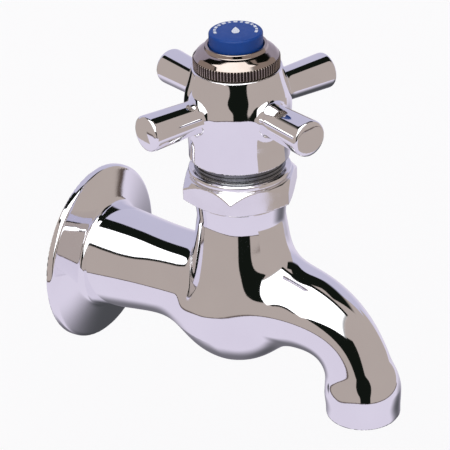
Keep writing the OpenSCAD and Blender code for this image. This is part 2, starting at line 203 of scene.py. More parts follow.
def iso_mesh(field, low, high, step, pulls=4):
    """Surface nets over the field, then each vertex is pulled onto the true surface."""
    low = np.array(low, float)
    counts = np.ceil((np.array(high, float) - low) / step).astype(int) + 1
    f = sample_grid(field, low, counts, step)
    shape = np.array(f.shape) - 1
    inside = f < 0
    total = np.zeros((*shape, 3))
    count = np.zeros(shape)
    corner = [slice(0, -1), slice(1, None)]
    for axis in range(3):
        a_axis, b_axis = [i for i in range(3) if i != axis]
        for da in (0, 1):
            for db in (0, 1):
                s0 = [corner[0]] * 3
                s0[a_axis], s0[b_axis] = corner[da], corner[db]
                s1 = list(s0)
                s1[axis] = corner[1]
                v0, v1 = f[tuple(s0)], f[tuple(s1)]
                crossing = (v0 < 0) != (v1 < 0)
                t = np.where(crossing, v0 / np.where(crossing, v0 - v1, 1), 0)
                count += crossing
                total[..., axis] += t
                total[..., a_axis] += crossing * da
                total[..., b_axis] += crossing * db
    active = count > 0
    index = np.full(shape, -1)
    index[active] = np.arange(active.sum())
    cells = np.argwhere(active)
    verts = low + (cells + total[active] / count[active][:, None]) * step
    faces = []
    for axis in range(3):
        a_axis, b_axis = (axis + 1) % 3, (axis + 2) % 3
        s0 = [slice(1, -1)] * 3
        s1 = [slice(1, -1)] * 3
        s0[axis], s1[axis] = slice(0, -1), slice(1, None)
        first, second = inside[tuple(s0)], inside[tuple(s1)]
        where = np.argwhere(first != second)
        out = first[tuple(where.T)]
        base = where + 1
        base[:, axis] -= 1
        quads = []
        for da, db in ((-1, -1), (0, -1), (0, 0), (-1, 0)):
            cell = base.copy()
            cell[:, a_axis] += da
            cell[:, b_axis] += db
            quads.append(index[tuple(cell.T)])
        quads = np.stack(quads, 1)
        quads[~out] = quads[~out][:, ::-1]
        faces.append(quads)
    faces = np.concatenate(faces)
    for _ in range(pulls):
        g = field_slope(field, verts)
        move = -field(verts)[:, None] * g / np.maximum((g**2).sum(1), 0.05)[:, None]
        size = np.linalg.norm(move, axis=1, keepdims=True)
        verts = verts + move * np.minimum(1, step * 0.5 / np.maximum(size, 1e-9))
    normals = field_slope(field, verts)
    normals /= np.maximum(np.linalg.norm(normals, axis=1, keepdims=True), 1e-9)
    return verts, faces, normals


# ---------------------------------------------------------------- building meshes
def add_mesh(name, verts, faces, body, node_names=(), normals=None, material=None):
    """A piece of the object: its mesh, what it rides on, the CAD nodes that it stands for."""
    mesh = bpy.data.meshes.new(name)
    mesh.from_pydata((np.asarray(verts) * MM).tolist(), [], [list(map(int, f)) for f in faces])
    mesh.validate()
    mesh.shade_smooth()
    if normals is not None:
        mesh.normals_split_custom_set_from_vertices(np.asarray(normals).tolist())
    piece = bpy.data.objects.new(name, mesh)
    bpy.context.scene.collection.objects.link(piece)
    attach(piece, body)
    if node_names:
        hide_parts(*node_names)
    if material:
        mesh.materials.append(material)
    return piece


def paint_faces(piece, material, chosen):
    """Gives the faces whose centre, in millimetres, passes a test another material."""
    piece.data.materials.append(material)
    for face in piece.data.polygons:
        if chosen(face.center / MM):
            face.material_index = len(piece.data.materials) - 1


def join_parts(parts):
    """Joins (verts, faces, normals) triples into one."""
    verts, faces, normals, start = [], [], [], 0
    for v, f, n in parts:
        verts.append(np.asarray(v))
        normals.append(np.asarray(n))
        faces.extend([[i + start for i in face] for face in f])
        start += len(v)
    return np.concatenate(verts), faces, np.concatenate(normals)


def arc_outline(corners, step_deg=12.0):
    """A polyline with rounded corners. Each corner is (r, z, radius)."""
    out = []
    n = len(corners)
    for i, (r, z, radius) in enumerate(corners):
        p = np.array([r, z], float)
        if radius <= 0 or i in (0, n - 1):
            out.append(p)
            continue
        a = np.array(corners[i - 1][:2], float) - p
        b = np.array(corners[i + 1][:2], float) - p
        la, lb = np.linalg.norm(a), np.linalg.norm(b)
        a, b = a / la, b / lb
        turn = math.acos(float(np.clip(a @ b, -1, 1)))
        if turn > math.pi - 1e-3:
            out.append(p)
            continue
        cut = min(radius / math.tan(turn / 2), la * 0.49, lb * 0.49)
        radius = cut * math.tan(turn / 2)
        middle = (a + b) / np.linalg.norm(a + b)
        centre = p + middle * radius / math.sin(turn / 2)
        start, end = p + a * cut - centre, p + b * cut - centre
        sweep = math.pi - turn
        steps = max(2, int(math.ceil(math.degrees(sweep) / step_deg)))
        side = np.sign(start[0] * end[1] - start[1] * end[0]) or 1
        for k in range(steps + 1):
            w = side * sweep * k / steps
            c, s = math.cos(w), math.sin(w)
            out.append(centre + np.array([c * start[0] - s * start[1], s * start[0] + c * start[1]]))
    return np.array(out)


def outline_normals(line):
    """Normals of a polyline's points, to the right of its direction, averaged over its two sides."""
    d = np.diff(line, axis=0)
    length = np.linalg.norm(d, axis=1, keepdims=True)
    d = d / np.maximum(length, 1e-9)
    side = np.stack([d[:, 1], -d[:, 0]], 1)
    n = np.empty_like(line)
    n[0], n[-1] = side[0], side[-1]
    w0, w1 = 1 / np.maximum(length[:-1], 1e-6), 1 / np.maximum(length[1:], 1e-6)
    n[1:-1] = side[:-1] * w0 + side[1:] * w1
    return n / np.maximum(np.linalg.norm(n, axis=1, keepdims=True), 1e-9)


def lathe(line, segments, centre=(0, 0), wave=None):
    """Turns an outline of (r, z) points about the vertical line through centre."""
    line = np.asarray(line, float)
    n = outline_normals(line)
    angle = 2 * np.pi * np.arange(segments) / segments
    r = np.repeat(line[:, 0][:, None], segments, 1)
    if wave is not None:
        r = r + wave(line[:, 1][:, None], angle[None, :])
    verts = np.stack(
        [
            centre[0] + r * np.cos(angle),
            centre[1] + r * np.sin(angle),
            np.repeat(line[:, 1][:, None], segments, 1),
        ],
        -1,
    ).reshape(-1, 3)
    normals = np.stack(
        [
            n[:, 0][:, None] * np.cos(angle),
            n[:, 0][:, None] * np.sin(angle),
            np.repeat(n[:, 1][:, None], segments, 1),
        ],
        -1,
    ).reshape(-1, 3)
    faces = []
    for i in range(len(line) - 1):
        for k in range(segments):
            a, b = i * segments + k, i * segments + (k + 1) % segments
            faces.append([a, b, b + segments, a + segments])
    return verts, faces, normals


# ---------------------------------------------------------------- the faucet body
# Names that end in _EDGE are roundings of edges. Those that end in _BLEND are widths of blends between
# two shapes.
TUBE_RADIUS = spline(
    [(0, 16.3), (4, 15.9), (10.7, 15.2), (17.4, 14.4), (24, 13.7), (32, 13.3), (46, 13.2)]
)
TUBE_END_X = 45.0
TUBE_END_EDGE = 2.0
FLANGE_T = 2.4               # thickness of the flange near its rim
FLANGE_SLOPE = 0.21
FLANGE_LIP = 0.6
FLANGE_EDGE = 1.1
FLANGE_BLEND = 1.6
WALL_EDGE = 0.5
COLLAR_Z = 26.3              # crease between the straight collar band and the flaring neck
COLLAR_R = 12.9
COLLAR_TAPER = 0.09
COLLAR_BLEND = 0.35
NECK_FLARE = spline(
    [
        (-8, 16.9),
        (-3, 16.85),
        (1, 16.45),
        (6, 15.72),
        (12, 14.88),
        (17.5, 14.1),
        (22, 13.48),
        (28, 12.62),
        (34, 11.8),
    ]
)
NECK_TOP_EDGE = 0.4
NECK_FOOT_Z = -3.0
NECK_FOOT_EDGE = 4.0
GLOBE_CENTRE = (VALVE_X - 2.2, 0, -4.2)
GLOBE_RADII = (18.4, 16.9, 17.7)
GLOBE_BLEND = 2.5
CREASE_BLEND = 1.8           # the tube meets the neck in a tight crease above CREASE_Z
ROOT_BLEND = 12.0            # and in a wide blend once it is CREASE_FADE below that
CREASE_Z = 4.0
CREASE_FADE = 14.0
SPOUT_PATH = [
    (VALVE_X, 0),
    (VALVE_X + 23.5, 2.2),
    (OUTLET_X - 2.6, -1.0),
    (OUTLET_X - 0.3, OUTLET_Z + 7.6),
]
SPOUT_RADII = [12.8, 14.4, 6.8, 10.9]
SPOUT_BLEND = 9.0            # blend of the spout into the neck. It fades out over SPOUT_BLEND_FADE
SPOUT_BLEND_TOP_Z = 26.0     # below this height, to leave the collar band straight
SPOUT_BLEND_FADE = 6.0
SPOUT_BLEND_LEAST = 0.05
OUTLET_R = 10.9
OUTLET_COLLAR_H = 8.0        # the outlet's straight collar; above it the barrel draws in
OUTLET_SHOULDER = 0.045
OUTLET_SHOULDER_H = 9.0
OUTLET_SHOULDER_EDGE = 4.0
OUTLET_EDGE = 0.8
OUTLET_BLEND = 2.0

# The body's bores and water ways. Upright ones are (radius, bottom, top).
INLET_BORE_R = 10.5
INLET_BORE_LEN = 18.0
INLET_WAY_R = 6.2
INLET_WAY_ENDS = ((INLET_BORE_LEN - 4, 0, 0), (VALVE_X - 6.5, 0, -8.5))
RECESS_R = 19.0              # middle of the ring-shaped recess behind the flange
RECESS_HALF = 4.6
RECESS_RIM_R = 24.0
RECESS_RIM_DEPTH = 0.2
RECESS_SLOPE = 0.12
LOWER_CHAMBER_CENTRE = (VALVE_X, 0, -5.5)
LOWER_CHAMBER_R = 12.7
LOWER_CHAMBER_TOP_Z = -2.5
SEAT_HOLE = (5.5, -4, 3)
UPPER_CHAMBER = (9.5, 1.5, 16)
BONNET_BORE = (10.6, 14, 40)
SPOUT_WAY_R = 5.5
SPOUT_WAY_START_X = VALVE_X + 4
OUTLET_BORE = (8.0, OUTLET_Z - 5, OUTLET_Z + 10)
BORE_EDGE = 0.5
WAYS_BLEND = 0.3


def spout_radius(t):
    return bezier(np.array(SPOUT_RADII)[:, None], t)[:, 0]


def capsule(p, a, b, r):
    """A straight round bar from a to b with round ends."""
    a, b = np.array(a, float), np.array(b, float)
    d = b - a
    t = np.clip(((p - a) @ d) / (d @ d), 0, 1)
    return np.linalg.norm(p - a - t[:, None] * d, axis=1) - r


def upright(p, x, r, z0, z1, k=0.3):
    """A vertical cylinder on the mirror plane at x."""
    rho = np.hypot(p[:, 0] - x, p[:, 1])
    return smax(smax(rho - r, p[:, 2] - z1, k), z0 - p[:, 2], k)


def body_outside(p):
    x, y, z = p.T
    rho = np.hypot(y, z)
    tube = smax(rho - TUBE_RADIUS(x), x - TUBE_END_X, TUBE_END_EDGE)
    face = x - FLANGE_T - FLANGE_SLOPE * (FLANGE_R - FLANGE_LIP - rho)
    flange = smax(smax(face, rho - FLANGE_R, FLANGE_EDGE), -x, WALL_EDGE)
    inlet = smin(smax(tube, -x, WALL_EDGE), flange, FLANGE_BLEND)

    axis_rho = np.hypot(x - VALVE_X, y)
    band = axis_rho - (COLLAR_R + COLLAR_TAPER * (z - COLLAR_Z))
    flare = axis_rho - NECK_FLARE(z)
    neck = smax(smin(band, flare, COLLAR_BLEND), z - NECK_TOP_Z, NECK_TOP_EDGE)
    neck = smax(neck, NECK_FOOT_Z - z, NECK_FOOT_EDGE)
    globe = ellipsoid(p, GLOBE_CENTRE, GLOBE_RADII)
    core = smin(neck, globe, GLOBE_BLEND)
    below_crease = np.clip((CREASE_Z - z) / CREASE_FADE, 0, 1)
    core = smin(core, inlet, CREASE_BLEND + (ROOT_BLEND - CREASE_BLEND) * below_crease**2)

    spout = pipe(p, SPOUT_PATH, spout_radius)
    fade = np.clip((SPOUT_BLEND_TOP_Z - z) / SPOUT_BLEND_FADE, SPOUT_BLEND_LEAST, 1)
    core = smin(core, spout, SPOUT_BLEND * fade)
    over_collar = np.maximum(z - OUTLET_Z - OUTLET_COLLAR_H, 0)
    collar = np.hypot(x - OUTLET_X, y) - (OUTLET_R - OUTLET_SHOULDER * over_collar**2)
    collar = smax(collar, over_collar - OUTLET_SHOULDER_H, OUTLET_SHOULDER_EDGE)
    collar = smax(collar, OUTLET_Z - z, OUTLET_EDGE)
    return smin(core, collar, OUTLET_BLEND)


def body_cavity(p):
    x, y, z = p.T
    rho = np.hypot(y, z)
    cavity = smax(rho - INLET_BORE_R, x - INLET_BORE_LEN, BORE_EDGE)
    recess_depth = RECESS_RIM_DEPTH + RECESS_SLOPE * (RECESS_RIM_R - rho)
    recess = smax(np.abs(rho - RECESS_R) - RECESS_HALF, x - recess_depth, BORE_EDGE)
    inlet_way = capsule(p, *INLET_WAY_ENDS, INLET_WAY_R)
    lower = np.linalg.norm(p - np.array(LOWER_CHAMBER_CENTRE), axis=1) - LOWER_CHAMBER_R
    lower = smax(lower, z - LOWER_CHAMBER_TOP_Z, BORE_EDGE)
    uprights = [upright(p, VALVE_X, *bore) for bore in (SEAT_HOLE, UPPER_CHAMBER, BONNET_BORE)]
    way = pipe(p, SPOUT_PATH, lambda t: np.full(len(t), SPOUT_WAY_R))
    way = smax(way, SPOUT_WAY_START_X - x, BORE_EDGE)
    outlet_bore = upright(p, OUTLET_X, *OUTLET_BORE, OUTLET_EDGE)
    for part in (recess, inlet_way, lower, *uprights, way, outlet_bore):
        cavity = smin(cavity, part, WAYS_BLEND)
    return cavity


def body_field(p):
    return smax(body_outside(p), -body_cavity(p), BORE_EDGE)


def inlet_thread():
    """A helical ridge inside the inlet bore: a sleeve whose radius follows the thread."""
    pitch, depth, start, end = 1.81, 1.0, 0.25, INLET_BORE_LEN - 0.2
    flat = 0.12                  # share of the depth cut off the ridge's root and crest
    sunk, proud = 0.05, 0.25     # the sleeve's ends lie behind the bore's wall, its grooves before it
    run_in, run_out = 1.4, 1.0
    segments, rows = 96, 110
    angle = 2 * np.pi * np.arange(segments) / segments
    xs = np.linspace(start, end, rows)
    phase = (xs[:, None] / pitch - angle[None] / (2 * np.pi)) % 1.0
    ridge = 1 - np.abs(2 * phase - 1)
    ridge = np.clip((ridge - flat) / (1 - 2 * flat), 0, 1)
    fade = np.clip((xs - start) / run_in, 0, 1) * np.clip((end - xs) / run_out, 0, 1)
    r = INLET_BORE_R + sunk - (depth * ridge + proud) * fade[:, None]
    x = np.repeat(xs[:, None], segments, 1)
    verts = np.stack([x, r * np.cos(angle), r * np.sin(angle)], -1).reshape(-1, 3)
    slope = np.gradient(r, xs, axis=0)
    normals = np.stack([slope, -np.cos(angle) + 0 * r, -np.sin(angle) + 0 * r], -1).reshape(-1, 3)
    normals /= np.linalg.norm(normals, axis=1, keepdims=True)
    faces = []
    for i in range(rows - 1):
        for k in range(segments):
            a, b = i * segments + k, i * segments + (k + 1) % segments
            faces.append([a, a + segments, b + segments, b])
    return verts, faces, normals


# ---------------------------------------------------------------- the handle
ARM_Z = 61.96
ARM_R = 4.72                 # radius of an arm at ARM_R_AT from the valve axis
ARM_R_AT = 15.0
ARM_FLARE = 0.036            # growth of its radius per millimetre outwards
ARM_REACH = 32.8
ARM_END_CROWN = 55.0         # larger is flatter
ARM_END_EDGE = 1.5
ARM_BLEND = 3.0
FIRST_ARM = math.radians(69.34)
SKIRT_R = spline([(45.0, 14.57), (49.5, 14.55), (54, 14.87), (58, 15.17), (64, 15.6)])
SKIRT_EDGE = 0.35
CONE_R = spline([(58, 15.85), (62, 15.42), (65.7, 14.85), (69, 13.95), (73, 12.9), (75, 12.3)])
HUB_EDGE = 0.5
SKIRT_BORE_R = 13.75
SKIRT_BORE_EDGE = 1.0
WEB_Z, WEB_TOP_Z = 57.5, 67.0
HUB_BORE_R = 10.0
DRIVE_HALF = 4.0             # half of the square hole for the driver
STOP_R = 8.0                 # the curved slot for the stop pin
STOP_SLOT_HALF_WIDTH = 1.5
STOP_SLOT_MIDDLE_DEG = -45.0
STOP_SLOT_HALF_DEG = 47.0
STOP_SLOT_MM_PER_DEG = 0.14
STOP_SLOT_FOOT_Z = WEB_Z - 2
STOP_SLOT_TOP_Z = WEB_Z + 3
HANDLE_BORE_EDGE = 0.4


def handle_field(p):
    x, y, z = p[:, 0] - VALVE_X, p[:, 1], p[:, 2]
    rho = np.hypot(x, y)
    hub = smax(rho - SKIRT_R(z), rho - CONE_R(z), HUB_EDGE)
    hub = smax(smax(hub, z - HUB_TOP_Z, HUB_EDGE), SKIRT_Z - z, SKIRT_EDGE)
    arm_pairs = []
    for a in (FIRST_ARM, FIRST_ARM + math.pi / 2):
        s = np.abs(x * math.cos(a) + y * math.sin(a))
        side = -x * math.sin(a) + y * math.cos(a)
        across = np.hypot(side, z - ARM_Z)
        pair = across - (ARM_R + ARM_FLARE * (s - ARM_R_AT))
        arm_pairs.append(smax(pair, s - ARM_REACH + across**2 / ARM_END_CROWN, ARM_END_EDGE))
    solid = smin(hub, smin(*arm_pairs, 0.1), ARM_BLEND)
    skirt_bore = smax(rho - SKIRT_BORE_R, z - WEB_Z, SKIRT_BORE_EDGE)
    hub_bore = smax(rho - HUB_BORE_R, WEB_TOP_Z - z, HUB_EDGE)
    square = np.maximum(np.abs(x), np.abs(y)) - DRIVE_HALF
    turn = np.degrees(np.arctan2(y, x)) - STOP_SLOT_MIDDLE_DEG
    past_end = np.maximum(np.abs((turn + 180) % 360 - 180) - STOP_SLOT_HALF_DEG, 0)
    slot = np.hypot(np.abs(rho - STOP_R), past_end * STOP_SLOT_MM_PER_DEG) - STOP_SLOT_HALF_WIDTH
    slot = np.maximum(np.maximum(slot, z - STOP_SLOT_TOP_Z), STOP_SLOT_FOOT_Z - z)
    for part in (skirt_bore, hub_bore, square, slot):
        solid = smax(solid, -part, HANDLE_BORE_EDGE)
    return solid


# ---------------------------------------------------------------- the bonnet
HEX_HALF = 15.3
HEX_TURN = math.radians(52.34)
HEX_TOP_Z = 40.1
HEX_CORNER_EDGE = 0.45
HEX_REACH = 18.2             # past its corners, for the grid
# Cones cut the hexagon's corners: (radius at its end face, weight of radius, weight of height).
HEX_TOP_CONE = (15.25, 0.73, 0.68)
HEX_FOOT_CONE = (15.15, 0.44, 0.9)
CONE_EDGE = 0.25
BEAD_TOP_Z = 42.1
BEAD_R = 14.85
RIDGE_R = 13.2               # the ridged neck above the bead
RIDGE_COUNT = 5
RIDGE_PITCH = 1.15
RIDGE_DEPTH = 0.42
RIDGES_TOP_Z = 49.2
SHOULDER_Z = 50.0
CORE_R = 12.6
BARREL_R = 10.55             # the lower end, which screws into the body's neck
BARREL_FOOT_Z = 14.5
O_RING_GROOVE = (9.0, 16.6, 18.4)       # (radius of its floor, bottom, top)
CHAMBER_R = 8.6
CHAMBER_TOP_Z = 44.0
CLIP_GROOVE = (9.25, 37.45, 38.5)
TOWER_R = 10.0
TOWER_BORE_R = 6.0
TOWER_TOP_Z = 56.0
BONNET_SEGMENTS = 144


def hex_field(p):
    x, y, z = p[:, 0] - VALVE_X, p[:, 1], p[:, 2]
    rho = np.hypot(x, y)
    solid = None
    for k in range(6):
        a = HEX_TURN + math.radians(30 + 60 * k)
        flat = x * math.cos(a) + y * math.sin(a) - HEX_HALF
        solid = flat if solid is None else smax(solid, flat, HEX_CORNER_EDGE)
    for (cone_r, r_weight, z_weight), over_face in (
        (HEX_TOP_CONE, z - HEX_TOP_Z),
        (HEX_FOOT_CONE, HEX_Z - z),
    ):
        solid = smax(solid, (rho - cone_r) * r_weight + over_face * z_weight, CONE_EDGE)
    solid = smax(smax(solid, z - HEX_TOP_Z, 0.3), HEX_Z - z, 0.2)
    return smax(solid, CORE_R - 0.2 - rho, 0.2)


def bonnet_turning():
    """The turned part of the bonnet: barrel, core, bead, ridged neck and tower, with its bores."""
    grooves = []
    for k in range(RIDGE_COUNT):
        z = BEAD_TOP_Z + 0.55 + RIDGE_PITCH * k
        grooves += [
            (RIDGE_R, z, 0.12),
            (RIDGE_R - RIDGE_DEPTH, z + 0.16, 0.15),
            (RIDGE_R - RIDGE_DEPTH, z + 0.52, 0.15),
            (RIDGE_R, z + 0.7, 0.12),
        ]
    o_ring_r, o_ring_foot, o_ring_top = O_RING_GROOVE
    clip_r, clip_foot, clip_top = CLIP_GROOVE
    corners = [
        (CHAMBER_R, BARREL_FOOT_Z, 0),
        (BARREL_R - 0.55, BARREL_FOOT_Z, 0.2),
        (BARREL_R, BARREL_FOOT_Z + 0.6, 0.2),
        (BARREL_R, o_ring_foot, 0.1),
        (o_ring_r, o_ring_foot, 0.1),
        (o_ring_r, o_ring_top, 0.1),
        (BARREL_R, o_ring_top, 0.1),
        (BARREL_R, HEX_Z, 0.05),
        (CORE_R, HEX_Z, 0.05),
        (CORE_R, HEX_TOP_Z - 0.1, 0.05),
        (BEAD_R - 0.55, HEX_TOP_Z - 0.1, 0.2),
        (BEAD_R, HEX_TOP_Z + 0.5, 0.5),
        (BEAD_R, BEAD_TOP_Z - 0.4, 0.6),
        (BEAD_R - 0.65, BEAD_TOP_Z, 0.3),
        (RIDGE_R, BEAD_TOP_Z, 0.1),
        *grooves,
        (RIDGE_R, RIDGES_TOP_Z, 0.4),
        (RIDGE_R - 1.0, SHOULDER_Z, 0.3),
        (TOWER_R, SHOULDER_Z, 0.2),
        (TOWER_R, TOWER_TOP_Z, 0.3),
        (TOWER_BORE_R, TOWER_TOP_Z, 0.2),
        (TOWER_BORE_R, CHAMBER_TOP_Z, 0.1),
        (CHAMBER_R, CHAMBER_TOP_Z, 0.1),
        (CHAMBER_R, clip_top, 0),
        (clip_r, clip_top, 0),
        (clip_r, clip_foot, 0),
        (CHAMBER_R, clip_foot, 0),
        (CHAMBER_R, BARREL_FOOT_Z, 0),
    ]
    return lathe(arc_outline(corners), BONNET_SEGMENTS, (VALVE_X, 0))


# ---------------------------------------------------------------- ring and button
KNURLS = 84
KNURL_DEPTH = 0.45
KNURL_TOP_Z = 76.45
KNURL_LAND = 0.2             # shares of half a knurl: its flat top and the slope beside it
KNURL_FLANK = 0.25
POINTS_PER_KNURL = 8
RING_FOOT_Z = 70.0
RING_FOOT_R = 9.95
RING_BORE_R = 8.8
RING_LEDGE_Z = 76.4
RING_MOUTH_R = 7.95
BUTTON_R = 7.66
BUTTON_FLANGE_R = 8.6
BUTTON_FLANGE_Z = 76.2
BUTTON_FOOT_Z = 67.0
BUTTON_BORE_R = 7.0
BUTTON_BORE_Z = 81.3
BUTTON_SEGMENTS = 128
CENTRE_R = 0.02              # a turned piece closes with this small hole on its axis


def ring_turning():
    r = RING_R
    corners = [
        (RING_BORE_R, RING_FOOT_Z, 0),
        (RING_FOOT_R, RING_FOOT_Z, 0.2),
        (RING_FOOT_R, HUB_TOP_Z, 0.05),
        (r - 0.35, HUB_TOP_Z, 0.1),
        (r, HUB_TOP_Z + 0.35, 0.15),
        (r, HUB_TOP_Z + 1.0, 0),
        (r, HUB_TOP_Z + 1.7, 0),
        (r, KNURL_TOP_Z - 0.25, 0.1),
        (r - 0.3, KNURL_TOP_Z, 0.15),
        (r - 1.2, KNURL_TOP_Z + 1.2, 2.5),
        (r - 2.6, KNURL_TOP_Z + 2.1, 1.2),
        (r - 3.35, KNURL_TOP_Z + 2.4, 0.4),
        (r - 3.55, RING_TOP_Z, 0.3),
        (RING_MOUTH_R, RING_TOP_Z, 0.25),
        (RING_MOUTH_R, RING_LEDGE_Z, 0.1),
        (RING_BORE_R, RING_LEDGE_Z, 0.1),
        (RING_BORE_R, RING_FOOT_Z, 0),
    ]
    line = arc_outline(corners, 7)
    line_r, line_z = line.T
    knurled = (line_r > r - 0.3) & (line_z > HUB_TOP_Z + 0.3) & (line_z < KNURL_TOP_Z - 0.15)

    def knurl(z, angle):
        place = (angle * KNURLS / (2 * np.pi)) % 1.0
        dip = np.clip(np.abs(place - 0.5) * 2 - KNURL_LAND, 0, KNURL_FLANK) / KNURL_FLANK
        return -KNURL_DEPTH * dip * knurled[:, None]

    return lathe(line, KNURLS * POINTS_PER_KNURL, (VALVE_X, 0), knurl)


def button_turning():
    corners = [
        (CENTRE_R, BUTTON_BORE_Z, 0),
        (BUTTON_BORE_R, BUTTON_BORE_Z, 0.4),
        (BUTTON_BORE_R, BUTTON_FOOT_Z, 0),
        (BUTTON_FLANGE_R, BUTTON_FOOT_Z, 0.2),
        (BUTTON_FLANGE_R, BUTTON_FLANGE_Z, 0.3),
        (BUTTON_R, BUTTON_FLANGE_Z, 0.1),
        (BUTTON_R, BUTTON_TOP_Z - 0.25, 0.7),
        (BUTTON_R - 2.46, BUTTON_TOP_Z - 0.06, 3),
        (CENTRE_R, BUTTON_TOP_Z, 0),
    ]
    return lathe(arc_outline(corners, 8), BUTTON_SEGMENTS, (VALVE_X, 0))


MARK_H = 0.07                # how far the print stands on the button
MARK_SINK = 0.3              # how deep its underside lies in the button
MARK_TURN = math.radians(122)
DASH_COUNT = 13
DASH_STEP_DEG = 17
FIRST_DASH_DEG = -102
DASH_HALF_DEG = (5.6, 3.4)   # long and short dashes take turns
DASH_RING = (5.5, 6.3)       # inner and outer radius of the ring of dashes
DROP_POINTS = 28
DROP_HALF_WIDTH = 1.55
DROP_HALF_HEIGHT = 2.2
DROP_TAPER = 1.3


def raised_shape(outline, z_low, z_high):
    """A thin closed solid over a convex outline of (x, y) points."""
    n = len(outline)
    verts = [(x, y, z_low) for x, y in outline] + [(x, y, z_high) for x, y in outline]
    faces = [list(range(n))[::-1], list(range(n, 2 * n))]
    faces += [[i, (i + 1) % n, n + (i + 1) % n, n + i] for i in range(n)]
    return verts, faces


def index_mark():
    """A water drop inside an open ring of dashes, printed on the button."""
    inner, outer = DASH_RING
    shapes = []
    for k in range(DASH_COUNT):
        a = MARK_TURN + math.radians(FIRST_DASH_DEG + DASH_STEP_DEG * k)
        half = math.radians(DASH_HALF_DEG[k % 2])
        arc = [a - half, a, a + half]
        outside = [(outer * math.cos(t), outer * math.sin(t)) for t in arc]
        inside = [(inner * math.cos(t), inner * math.sin(t)) for t in arc[::-1]]
        shapes.append(outside + inside)
    c, s = math.cos(MARK_TURN), math.sin(MARK_TURN)
    drop = []
    for k in range(DROP_POINTS):
        t = 2 * math.pi * k / DROP_POINTS
        wide = DROP_HALF_WIDTH * math.sin(t) * math.sin(t / 2) ** DROP_TAPER
        tall = DROP_HALF_HEIGHT * math.cos(t)
        drop.append((tall * c - wide * s, tall * s + wide * c))
    shapes.append(drop)
    verts, faces = [], []
    for shape in shapes:
        start = len(verts)
        outline = [(VALVE_X + x, y) for x, y in shape]
        v, f = raised_shape(outline, BUTTON_TOP_Z - MARK_SINK, BUTTON_TOP_Z + MARK_H)
        verts += v
        faces += [[i + start for i in face] for face in f]
    return verts, faces


# ---------------------------------------------------------------- materials
METAL_GRAIN_SCALE = 2600     # features per metre, as in every noise here
PLASTIC_GRAIN_SCALE = 2400
PLASTIC_SPECULAR = 0.3


def new_material(name):
    """A material, its node tree and its shader."""
    material = bpy.data.materials.new(name)
    material.use_nodes = True
    tree = material.node_tree
    return material, tree, tree.nodes["Principled BSDF"]


def noise(tree, scale, detail, roughness=0.5):
    """Noise in object coordinates. Its scale is in features per metre."""
    coords = tree.nodes.new("ShaderNodeTexCoord")
    texture = tree.nodes.new("ShaderNodeTexNoise")
    texture.inputs["Scale"].default_value = scale
    texture.inputs["Detail"].default_value = detail
    texture.inputs["Roughness"].default_value = roughness
    tree.links.new(coords.outputs["Object"], texture.inputs["Vector"])
    return texture.outputs["Fac"]


def remap(tree, value, low, high):
    """Spreads the middle of a noise's values over low to high."""
    node = tree.nodes.new("ShaderNodeMapRange")
    node.inputs["From Min"].default_value = 0.3
    node.inputs["From Max"].default_value = 0.7
    node.inputs["To Min"].default_value = low
    node.inputs["To Max"].default_value = high
    tree.links.new(value, node.inputs["Value"])
    return node.outputs["Result"]


def blend_colours(tree, factor, first, second):
    node = tree.nodes.new("ShaderNodeMix")
    node.data_type = "RGBA"
    node.inputs["A"].default_value = (*first, 1)
    node.inputs["B"].default_value = (*second, 1)
    tree.links.new(factor, node.inputs["Factor"])
    return node.outputs["Result"]


def bump(tree, height, distance, under=None):
    node = tree.nodes.new("ShaderNodeBump")
    node.inputs["Strength"].default_value = 1.0
    node.inputs["Distance"].default_value = distance
    tree.links.new(height, node.inputs["Height"])
    if under is not None:
        tree.links.new(under, node.inputs["Normal"])
    return node.outputs["Normal"]


def metal(name, light, dark, roughness, tone_scale, swell=0.0, swell_scale=0.0, grain=0.0):
    """A metal whose tone and roughness drift, with a slow swell and a fine grain in its surface.

    Scales are in features per metre, and swell and grain are heights in metres.
    """
    material, tree, shader = new_material(name)
    shader.inputs["Metallic"].default_value = 1.0
    tone = remap(tree, noise(tree, tone_scale, 3), 0, 1)
    tree.links.new(blend_colours(tree, tone, light, dark), shader.inputs["Base Color"])
    smears = remap(tree, noise(tree, tone_scale * 3, 5, 0.62), *roughness)
    tree.links.new(smears, shader.inputs["Roughness"])
    normal = None
    if swell:
        normal = bump(tree, noise(tree, swell_scale, 1.0), swell)
    if grain:
        normal = bump(tree, noise(tree, METAL_GRAIN_SCALE, 3, 0.6), grain, normal)
    if normal is not None:
        tree.links.new(normal, shader.inputs["Normal"])
    return material


def plastic(name, light, dark, roughness, grain=0.000008, scale=120):
    """A moulded plastic or rubber whose tone and roughness drift, with a fine grain."""
    material, tree, shader = new_material(name)
    tone = remap(tree, noise(tree, scale, 4), 0, 1)
    tree.links.new(blend_colours(tree, tone, light, dark), shader.inputs["Base Color"])
    smears = remap(tree, noise(tree, scale * 4, 4), *roughness)
    tree.links.new(smears, shader.inputs["Roughness"])
    grained = bump(tree, noise(tree, PLASTIC_GRAIN_SCALE, 4, 0.6), grain)
    tree.links.new(grained, shader.inputs["Normal"])
    shader.inputs["Specular IOR Level"].default_value = PLASTIC_SPECULAR
    return material


